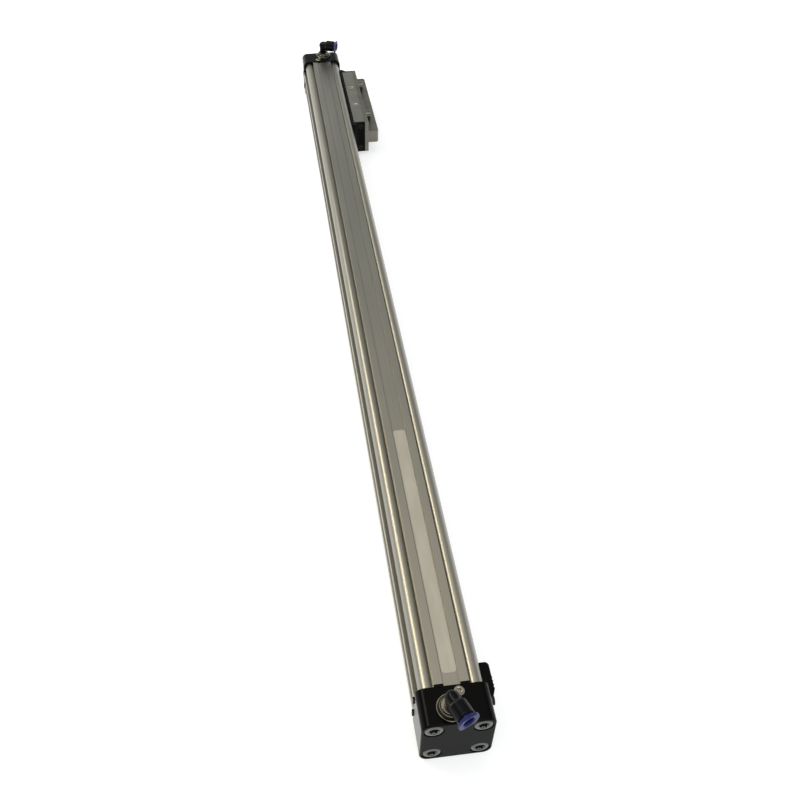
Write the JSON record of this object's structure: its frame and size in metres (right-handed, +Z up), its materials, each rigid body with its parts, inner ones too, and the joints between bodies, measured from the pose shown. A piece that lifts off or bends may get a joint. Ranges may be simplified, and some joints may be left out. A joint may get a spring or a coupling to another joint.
{
  "type": "rodless pneumatic cylinder",
  "caption": "Slotted aluminium cylinder with an air-driven internal piston, a side carriage with a driver bar, sealing bands, black end caps and swivel push-in air fittings.",
  "frame": {"origin": "centre of the near end cap's outer face, on the piston's axis", "axes": "+Y along the tube from the near end to the far end, +X towards the slot and the carriage, +Z up through the air ports"},
  "size_m": [0.067, 0.8081, 0.0588],
  "materials": {
    "anodised_profile": "satin, clear anodised extrusion with fine lines along it",
    "black_cap": "black coated casting, glossy sides and a satin end face",
    "zinc_screw": "bright zinc-plated steel",
    "black_screw": "black oxide steel",
    "seal_rubber": "matte nitrile rubber",
    "cushion_brass": "turned, bare",
    "steel_band": "rolled stainless strip",
    "magnet_strip": "dark plastic-bonded magnet",
    "piston_magnet": "dark plastic-bonded magnet",
    "clamp_metal": "satin",
    "black_plastic": "fine-grained moulding",
    "label_film": "plain silver-grey film",
    "nickel_brass": "nickel-plated brass, warm silver",
    "yoke_aluminium": "milled, bare",
    "piston_plastic": "turned dark acetal",
    "wear_plastic": "pale bearing plastic",
    "carriage_aluminium": "satin, grey anodised",
    "plug_aluminium": "satin",
    "bar_aluminium": "satin, sawn and bead-blasted",
    "wiper_felt": "dense oiled felt",
    "elbow_plastic": "half-gloss black moulding",
    "collar_plastic": "half-gloss blue moulding",
    "grip_steel": "spring steel"
  },
  "bodies": {
    "cylinder": {"barrel": "anodised_profile", "near_end_cap": "black_cap", "far_end_cap": "black_cap", "near_cap_screws": "zinc_screw", "far_cap_screws": "zinc_screw", "near_cap_seal": "seal_rubber", "far_cap_seal": "seal_rubber", "near_cushion_tube": "cushion_brass", "far_cushion_tube": "cushion_brass", "outer_band": "steel_band", "inner_band": "steel_band", "band_magnets": "magnet_strip", "near_band_clamp": "clamp_metal", "far_band_clamp": "clamp_metal", "near_clamp_screws": "black_screw", "far_clamp_screws": "black_screw", "near_band_cover": "black_plastic", "label": "label_film", "near_fitting_stud": "nickel_brass", "far_fitting_stud": "nickel_brass", "near_fitting_seal": "seal_rubber", "far_fitting_seal": "seal_rubber"},
    "carriage": {"piston_yoke": "yoke_aluminium", "near_piston_head": "piston_plastic", "far_piston_head": "piston_plastic", "piston_seals": "seal_rubber", "wear_rings": "wear_plastic", "cushion_seals": "seal_rubber", "piston_magnets": "piston_magnet", "piston_screws": "black_screw", "carrier_block": "carriage_aluminium", "carrier_screws": "black_screw", "near_scraper_housing": "black_plastic", "far_scraper_housing": "black_plastic", "scraper_screws": "black_screw", "band_wipers": "wiper_felt", "slide_shoes": "black_plastic", "band_guide": "black_plastic", "side_plugs": "plug_aluminium", "driver_bar": "bar_aluminium", "driver_bar_screws": "zinc_screw"},
    "near_swivel": {"near_elbow": "elbow_plastic", "near_tube_seal": "seal_rubber", "near_tube_grip": "grip_steel"},
    "far_swivel": {"far_elbow": "elbow_plastic", "far_tube_seal": "seal_rubber", "far_tube_grip": "grip_steel"},
    "near_collar": {"near_release_collar": "collar_plastic"},
    "far_collar": {"far_release_collar": "collar_plastic"},
    "near_cushion_needle": {"near_cushion_screw": "nickel_brass"},
    "far_cushion_needle": {"far_cushion_screw": "nickel_brass"}
  },
  "joints": [
    {"name": "carriage_slide", "type": "slide", "parent": "cylinder", "child": "carriage", "axis": [0, 1, 0], "range_m": [-0.6, 0], "deforming": ["outer_band", "inner_band"]},
    {"name": "near_elbow_swivel", "type": "hinge", "parent": "cylinder", "child": "near_swivel", "pos_m": [-0.0032, 0.0088, 0.0328], "axis": [0, 0, 1], "continuous": true},
    {"name": "far_elbow_swivel", "type": "hinge", "parent": "cylinder", "child": "far_swivel", "pos_m": [0.0032, 0.7912, 0.0328], "axis": [0, 0, 1], "continuous": true},
    {"name": "near_collar_press", "type": "slide", "parent": "near_swivel", "child": "near_collar", "axis": [-0.3907, 0.9205, 0], "range_m": [0, 0.0012], "stiffness_N_per_m": 2000},
    {"name": "far_collar_press", "type": "slide", "parent": "far_swivel", "child": "far_collar", "axis": [-0.9272, 0.3746, 0], "range_m": [0, 0.0012], "stiffness_N_per_m": 2000},
    {"name": "near_cushion_turn", "type": "hinge", "parent": "cylinder", "child": "near_cushion_needle", "pos_m": [0.0032, 0.01799, 0.0205], "axis": [0, 0, 1], "range_deg": [-540, 540]},
    {"name": "far_cushion_turn", "type": "hinge", "parent": "cylinder", "child": "far_cushion_needle", "pos_m": [-0.0032, 0.78201, 0.0205], "axis": [0, 0, 1], "range_deg": [-540, 540]}
  ]
}
